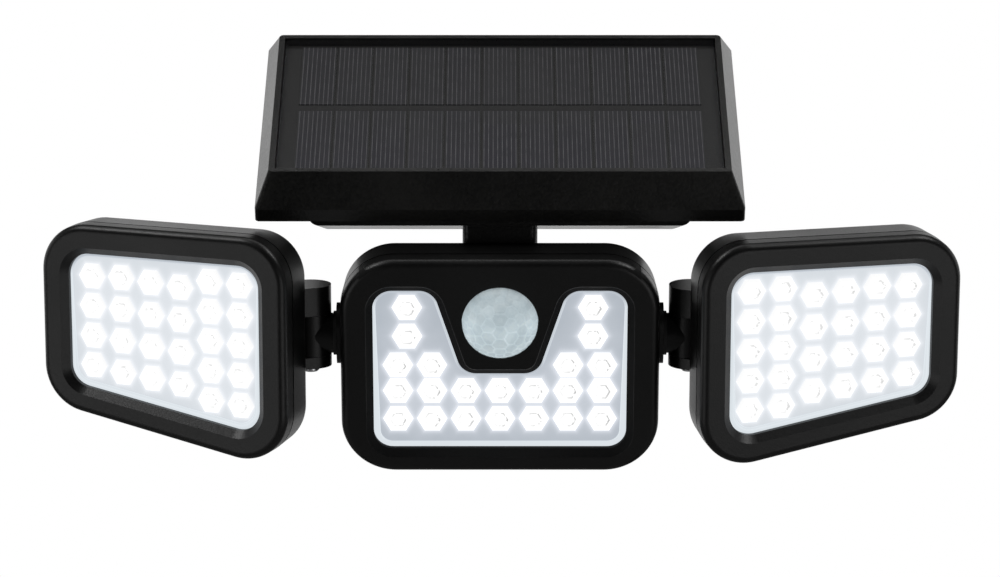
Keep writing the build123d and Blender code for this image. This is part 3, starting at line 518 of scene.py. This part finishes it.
def rounded_path(corners, radius, drawn_in):
    """The points of a closed outline's round corners, drawn in; its straight sides need none.

    Every corner's arc keeps its centre, and its radius shrinks by drawn_in where the corner points
    outward and grows by it where the corner points inward.
    """
    corner = np.array(corners, float)
    before = corner - np.roll(corner, 1, 0)
    after = np.roll(corner, -1, 0) - corner
    before /= np.linalg.norm(before, axis=1, keepdims=True)
    after /= np.linalg.norm(after, axis=1, keepdims=True)
    bend = before[:, 0] * after[:, 1] - before[:, 1] * after[:, 0]
    outward = np.sign(bend)
    half = np.arctan2(np.abs(bend), (before * after).sum(1)) / 2
    normal_in = np.stack([-before[:, 1], before[:, 0]], -1)
    centre = corner - before * (radius * np.tan(half))[:, None]
    centre = centre + normal_in * (outward * radius)[:, None]
    from_angle = np.arctan2(*(-(normal_in * outward[:, None]))[:, ::-1].T)
    share = np.linspace(0, 1, CORNER_STEPS)
    angle = from_angle[:, None] + outward[:, None] * 2 * half[:, None] * share
    reach = (radius - outward * drawn_in)[:, None]
    points = centre[:, None] + reach[..., None] * np.stack([np.cos(angle), np.sin(angle)], -1)
    return points.reshape(-1, 2)


RIM_WIDE, RIM_HIGH, PLATE_FRONT, PLATE_BACK = 2.1, 0.45, -3.2, -5.4  # heights from the face
RIM_THIN, RIM_FULL_BELOW = 0.35, -10  # share of its width left, and up to what height it is full
RIM_PROFILE = [  # how far in from the window's edge, and the height from the face
    (-1.8, PLATE_BACK), (-1.8, -3.8), (0.25, -3.8), (0.25, PLATE_FRONT), (0.45, PLATE_FRONT + 0.3),
    (0.9, PLATE_FRONT + RIM_HIGH), (1.6, PLATE_FRONT + RIM_HIGH), (2.0, PLATE_FRONT + 0.25),
    (RIM_WIDE, PLATE_FRONT), (RIM_WIDE, PLATE_BACK),
]
RIM_RISING = 1.6  # how soon the rim lights up where it runs upward
FIELD_ACROSS, FIELD_ALONG, FIELD_BUNCHED = 191, 120, 0.75
NEAR_REACH, NEAR_GLOW, WIDE_REACH, WIDE_GLOW = 0.8, 0.45, 3.2, 0.15  # the halos round a hexagon


def plate_field(path, lens_at, lens_flat):
    """The plate's field inside its rim, as x, y and how strongly each point glows.

    Columns stand at x, bunched towards the ends, and run from the outline's lower edge to its
    upper one. The glow is a narrow halo round the nearest hexagon, lens_flat from its middle to
    its flats, and a wide one round every hexagon.
    """
    ends = path[:, 0].min(), path[:, 0].max()
    even = np.linspace(-1, 1, FIELD_ACROSS)
    spread = FIELD_BUNCHED * np.sin(even * pi / 2) + (1 - FIELD_BUNCHED) * even
    x = (ends[0] + ends[1]) / 2 + (ends[1] - ends[0]) / 2 * spread
    left, right = [np.flatnonzero(np.abs(path[:, 0] - end) < 1e-6) for end in ends]
    low_start, low_end = left[np.argmin(path[left, 1])], right[np.argmin(path[right, 1])]
    high_start, high_end = right[np.argmax(path[right, 1])], left[np.argmax(path[left, 1])]
    count = len(path)
    lower = np.roll(path, -low_start, 0)[: (low_end - low_start) % count + 1]
    upper = np.roll(path, -high_start, 0)[: (high_end - high_start) % count + 1][::-1]
    low, high = np.interp(x, *lower.T), np.interp(x, *upper.T)
    y = low + (high - low) * np.linspace(0, 1, FIELD_ALONG)[:, None]
    x = np.broadcast_to(x, y.shape)
    off_x, off_y = np.abs(x[..., None] - lens_at[:, 0]), np.abs(y[..., None] - lens_at[:, 1])
    beyond = np.maximum(np.maximum(off_y, off_y / 2 + off_x * 3**0.5 / 2) - lens_flat, 0)
    near = np.exp(-((beyond / NEAR_REACH) ** 1.5)).max(-1)
    wide = np.exp(-(beyond / WIDE_REACH)).sum(-1)
    return x, y, NEAR_GLOW * near + WIDE_GLOW * wide


# Rings of a lenslet, from under it up its side, over its top and into the shallow well in it: the
# radius as a share of the lenslet's, and the height above the plate in millimetres
LENSLET_RINGS = np.array([
    (0.0, -0.05), (1.0, -0.05), (0.985, 0.3), (0.90, 1.1), (0.85, 1.3), (0.52, 1.3), (0.46, 1.0),
    (0.0, 0.95),
])


def lenslets(face, lens_at, radius):
    """All lenslets of a head as one mesh, each a six-sided grid of rings.

    Its UVs are the place across the lenslet, from -1 to 1.
    """
    rings, sides = len(LENSLET_RINGS), 6
    angle = np.arange(sides) * pi / 3
    reach = (radius * LENSLET_RINGS[:, 0])[:, None]
    middle_x, middle_y = lens_at[:, None, None, 0], lens_at[:, None, None, 1]
    x, y = middle_x + reach * np.cos(angle), middle_y + reach * np.sin(angle)
    high = PLATE_FRONT + LENSLET_RINGS[:, 1][:, None] + 0 * x
    points = face.at(x, y, high).reshape(-1, 3)
    start_at = np.arange(len(lens_at))[:, None, None] * rings * sides
    ring, step = np.arange(rings - 1)[:, None] * sides, np.arange(sides)
    ahead, ring_ahead = (step + 1) % sides, ring + sides
    corner = [ring + step, ring + ahead, ring_ahead + ahead, ring_ahead + step]
    quads = np.stack([start_at + one for one in corner], -1).reshape(-1, 4)
    mesh = bpy.data.meshes.new("lenslets")
    mesh.from_pydata(points.tolist(), [], quads.tolist())
    across = np.stack([(x - middle_x) / radius, (y - middle_y) / radius], -1).reshape(-1, 2)
    layer = mesh.uv_layers.new(name="across")
    corner_vertex = np.empty(len(mesh.loops), int)
    mesh.loops.foreach_get("vertex_index", corner_vertex)
    layer.data.foreach_set("uv", across[corner_vertex].ravel())
    mesh.shade_flat()
    return weld(mesh)


PLATE_BODY, HAZE, STREAK = (0.05, 0.055, 0.06), 0.12, 0.3
RIM_DIM, RIM_LIT = (0.47, 0.51, 0.56), (0.70, 0.75, 0.79)


def field_glow(name, dim, bright):
    """The plate's frosted field: its stored glow, a little cloudy, from dim to bright."""
    finish, start = new_tree(name)
    lit = stored_glow(start)
    haze = start.noise(0.006, 2)
    surface(start, principled(
        start, Base_Color=PLATE_BODY, Roughness=0.22, Specular_IOR_Level=0.4,
        Emission_Color=(lit + haze * HAZE - HAZE / 2).tint(dim, bright), Emission_Strength=1.0,
    ))
    return finish


centre_field = field_glow("lens_field", (0.42, 0.46, 0.51), (0.88, 0.91, 0.98))
side_field = field_glow("lens_field_soft", (0.60, 0.64, 0.68), (0.92, 0.94, 0.98))
rim_finish, start = new_tree("lens_rim")
streak = start.noise(0.02, 2)
rim_lit = stored_glow(start) + streak * STREAK - STREAK / 2
surface(start, principled(
    start, Base_Color=PLATE_BODY, Roughness=0.2, Specular_IOR_Level=0.5,
    Emission_Color=rim_lit.tint(RIM_DIM, RIM_LIT), Emission_Strength=1.0,
))


def lenslet_glow(name, edge_from, edge_light, shade_wide, shade_grey):
    """A lenslet lit from behind: white, its edge a little dimmer, and painted shade on the walls of
    the hexagonal LED well in it, as short dark strokes, strongest at the upper right."""
    finish, start = new_tree(name)
    spot = start.add("ShaderNodeUVMap", {"uv_map": "across"})
    u = start.add("ShaderNodeSeparateXYZ", inputs={0: spot})
    v = u.output("Y")
    flat, wide = v.maths("ABSOLUTE"), u.maths("ABSOLUTE")
    hexagon = flat.maths("MAXIMUM", flat * 0.5 + wide * (3**0.5 / 2)) / (3**0.5 / 2)
    # painted shade of the LED well's walls: a dark hexagonal stroke, stronger to the upper right,
    # broken up
    stroke = 1 - ((hexagon - 0.50).maths("ABSOLUTE") / shade_wide).ramp((0.3, 0), (0.9, 1))
    side = (u * 0.7 + v * 0.5 + 0.5).ramp((0.1, 0.3), (0.8, 1.0))
    broken = start.noise(0.0011, 2).ramp((0.42, 0), (0.54, 1))
    well_shade = stroke * side * broken
    body = hexagon.ramp((0.0, 1.0), (edge_from, 1.0), (1.0, edge_light))
    surface(start, principled(
        start, Base_Color=(0.05, 0.05, 0.05), Roughness=0.15,
        Emission_Color=(body * (1 - well_shade * (1 - shade_grey))).tint((0, 0, 0), (1.0, 1.0, 1.0)),
        Emission_Strength=1.12,
    ))
    return finish


# the last two are the width and the grey of the painted shade in each LED well
centre_lit = lenslet_glow("lens_lit", 0.72, 0.95, 0.10, 0.42)
side_lit = lenslet_glow("lens_lit_soft", 0.60, 0.80, 0.16, 0.60)


def make_lens(name, face, window, radius, lens_at, lenslet_round, field_finish, lenslet_finish):
    """A head's lens: rim and back swept round the window, the glowing field, and the lenslets.

    The rim is full at the lower corners and thin at all others, and tapers on the way up the sides.
    """
    lens_at = np.array(lens_at, float)
    rim = np.stack([rounded_path(window, radius, inward) for inward, _ in RIM_PROFILE])
    along = np.roll(rim, -1, 1) - np.roll(rim, 1, 1)
    rising = along[..., 0] / np.linalg.norm(along, axis=-1)
    edge = rim[2:3]
    rim[3:] = edge + (rim[3:] - edge) * np.where(edge[..., 1:] < RIM_FULL_BELOW, 1, RIM_THIN)
    high = np.array([height for _, height in RIM_PROFILE])[:, None]
    rim_points = face.at(rim[..., 0], rim[..., 1], high)
    rim_mesh = weld(grid_mesh(f"{name}_lens_rim", rim_points, closed_u=True, closed_v=True))
    rim_mesh.set_sharp_from_angle(angle=radians(35))
    store_glow(rim_mesh, np.clip(1 + RIM_RISING * rising, 0, 1))
    rim_piece = show(f"{name}_lens_rim", rim_mesh, rim_finish)
    x, y, glow = plate_field(rim[-1], lens_at, lenslet_round * 3**0.5 / 2)
    field_mesh = grid_mesh(f"{name}_lens_field", face.at(x, y, PLATE_FRONT))
    store_glow(field_mesh, np.clip(glow, 0, 1))
    field = show(f"{name}_lens_field", weld(field_mesh, closed=False), field_finish)
    plate = field.modifiers.new("plate", "SOLIDIFY")
    plate.thickness, plate.offset = (PLATE_FRONT - PLATE_BACK) * MM, -1
    lenses = show(f"{name}_lenslets", lenslets(face, lens_at, lenslet_round), lenslet_finish)
    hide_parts(f"{name}_lens")
    for piece in (rim_piece, field, lenses):
        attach(piece, f"{name}_head")


CENTRE_WINDOW = [
    (-39.5, -28.2), (39.5, -28.2), (39.5, 25.0), (20.8, 25.0), (11.8, -2.7), (-11.8, -2.7),
    (-20.8, 25.0), (-39.5, 25.0),
]
CENTRE_CORNER, CENTRE_LENSLET, SIDE_CORNER, SIDE_LENSLET = 6.0, 4.75, 7.0, 4.5  # all radii
RECESS_WIDE, RECESS_TALL, RECESS_BELOW = 43.5 * MM, 32.5 * MM, -0.15 * MM
# The rows are where the photograph shows them, 0.7 to 2.1 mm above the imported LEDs' own.
LED_PITCH, LED_ROWS, LOBE_OUT = 10.6, (19.1, 9.5, -0.2, -8.9, -18.4), 2.72
centre_lenses = [(side * LOBE_OUT * LED_PITCH, y) for side in (-1, 1) for y in LED_ROWS[:2]]
centre_lenses += [(side * n * LED_PITCH, LED_ROWS[2]) for side in (-1, 1) for n in (2, 3)]
centre_lenses += [(n * LED_PITCH, y) for n in range(-3, 4) for y in LED_ROWS[3:]]
head_face = centre_face()


def window_recess(start):
    """1 where the centre bezel slopes down into its window, and 0 elsewhere."""
    spot = start.add("ShaderNodeTexCoord", output=3)
    off = start.add(
        "ShaderNodeVectorMath", {"operation": "SUBTRACT"}, {0: spot, 1: head_face.middle}
    )
    x, y, high = [
        start.add("ShaderNodeVectorMath", {"operation": "DOT_PRODUCT"}, {0: off, 1: axis}, output=1)
        for axis in (head_face.right, head_face.up, head_face.out)
    ]
    within = (x.maths("ABSOLUTE") < RECESS_WIDE) * (y.maths("ABSOLUTE") < RECESS_TALL)
    return within * (high < RECESS_BELOW)


dress(moulded_black("bezel_black", *HEAD_LOOKS, HEAD_GLEAM, window_recess), "centre_bezel")
make_lens(
    "centre", head_face, CENTRE_WINDOW, CENTRE_CORNER, centre_lenses, CENTRE_LENSLET, centre_field,
    centre_lit,
)

SIDE_WINDOW = [(34.1, -18.2), (34.1, 23.5), (-30.5, 23.5), (-30.5, -30.0)]
FIRST_COLUMN, COLUMN_PITCH = 26.3, 10.03
SIDE_COLUMNS = [  # height of the top lenslet, pitch and count, from the outer column in
    (16.4, 9.5, 4), (16.6, 10.1, 4), (15.8, 10.2, 4), (15.1, 10.3, 4), (17.6, 9.4, 5),
    (17.2, 9.5, 5),
]
SIDE_TURNS = [("left", -1, 12.5, 20.5), ("right", 1, 15.5, 12)]  # name, side, tilt and swing
for name, side, tilt, swing in SIDE_TURNS:
    window = [(side * x, y) for x, y in SIDE_WINDOW][::side]
    places = [
        (side * (FIRST_COLUMN - column * COLUMN_PITCH), top - row * pitch)
        for column, (top, pitch, count) in enumerate(SIDE_COLUMNS)
        for row in range(count)
    ]
    face = side_face(name, side, tilt, swing)
    make_lens(name, face, window, SIDE_CORNER, places, SIDE_LENSLET, side_field, side_lit)

# Sensor dome: the milky Fresnel cover of the motion sensor, a cap on a short collar. It is cut into
# zones, broad round its top and small along its rim. Light from the LEDs strays into it, which its
# own faint emission stands for.
DOME_UP, DOME_ROUND, DOME_HIGH, COLLAR, COLLAR_TOP = 15.1, 11.7, 8.0, 3.8, -0.6
FLANGE_OUT, FLANGE_THICK = 1.9, 1.2
ZONE_ROWS = [(0.0, 1), (4.3, 6), (8.0, 12), (10.7, 22), (12.9, 30)]  # way down the cap, and count
ZONE_GROOVE, ZONE_DEEP = 0.32, 0.09
DOME_RINGS, DOME_STEPS = 90, 180
STRAY, STRAY_TOP, STRAY_FOOT = 0.765, 0.43, 0.17  # at mid height, and its losses up and down
STRAY_STEP, STRAY_TURN = 0.045, 2.4  # the step between zones, and its angle from one to the next
GROOVE_GLOW, GROOVE_TOP = 0.15, 0.20  # what a groove adds, and what height takes off it


def dome_zones(arc, angle):
    """How deep in a groove between zones a point lies, 0 to 1, and the number of its zone.

    A zone holds the points nearest its middle. The distance to its edge is half the difference
    between the distances to the nearest middle and the next.
    """
    reach = np.concatenate([np.full(count, row) for row, count in ZONE_ROWS])
    bearing = np.concatenate([
        (np.arange(count) + 0.5 * (number % 2)) * 2 * pi / count
        for number, (_, count) in enumerate(ZONE_ROWS)
    ])
    off_x = (arc * np.cos(angle))[..., None] - reach * np.cos(bearing)
    off_y = (arc * np.sin(angle))[..., None] - reach * np.sin(bearing)
    away = np.hypot(off_x, off_y)
    near, after = np.partition(away, 1, axis=-1)[..., :2].transpose(2, 0, 1)
    return np.clip(1 - (after - near) / 2 / ZONE_GROOVE, 0, 1), away.argmin(-1)


def dome_mesh(face):
    """The dome as rings about its own line: cap, collar, flange and its underside.

    The cap is a ball whose slope angle grows evenly from its top to its edge. Its glow is the stray
    light: less at the top, with a step from zone to zone and a bright line along the lower grooves.
    """
    ball = (DOME_ROUND**2 + DOME_HIGH**2) / (2 * DOME_HIGH)
    last = np.arcsin(DOME_ROUND / ball)
    slope = np.linspace(0, last, DOME_RINGS)[:, None]
    angle = np.linspace(0, 2 * pi, DOME_STEPS, endpoint=False)[None]
    groove, zone = dome_zones(ball * slope, angle)
    depth = ball - ZONE_DEEP * groove
    radius = depth * np.sin(slope) + 0 * angle
    high = depth * np.cos(slope) + DOME_HIGH - ball + 0 * angle
    upper = radius * np.sin(angle) / DOME_ROUND
    glow = STRAY - STRAY_TOP * np.clip(upper, 0, 1) + STRAY_FOOT * np.clip(upper, -1, 0)
    glow += STRAY_STEP * np.sin(zone * STRAY_TURN) + groove * (GROOVE_GLOW - GROOVE_TOP * upper)
    for ring_round, ring_high in (
        (DOME_ROUND, COLLAR_TOP), (DOME_ROUND, -COLLAR), (DOME_ROUND + FLANGE_OUT, -COLLAR),
        (DOME_ROUND + FLANGE_OUT, -COLLAR - FLANGE_THICK), (0.0, -COLLAR - FLANGE_THICK),
    ):
        radius = np.vstack([radius, np.full((1, DOME_STEPS), ring_round)])
        high = np.vstack([high, np.full((1, DOME_STEPS), ring_high)])
        glow = np.vstack([glow, glow[-1:]])
    points = face.at(radius * np.cos(angle), DOME_UP + radius * np.sin(angle), high)
    mesh = grid_mesh("sensor_dome_lens", points[::-1], closed_v=True)
    store_glow(mesh, glow[::-1])
    weld(mesh).set_sharp_from_angle(angle=radians(40))
    return mesh


milky, start = new_tree("dome_milky")
mist = start.noise(0.004, 3).ramp((0.35, 0), (0.65, 1))
stray = stored_glow(start)
surface(start, principled(
    start,
    Base_Color=mist.tint((0.40, 0.48, 0.52), (0.54, 0.60, 0.62)),
    Roughness=0.55, Subsurface_Weight=0.2, Subsurface_Radius=(0.002, 0.002, 0.002),
    Emission_Color=(stray * (0.95 + 0.1 * mist)).tint((0, 0, 0), (0.475, 0.56, 0.595)),
    Emission_Strength=1.0, Specular_IOR_Level=0.35,
))
dome = show("sensor_dome_lens", dome_mesh(head_face), milky)
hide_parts("sensor_dome")
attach(dome, "centre_head")
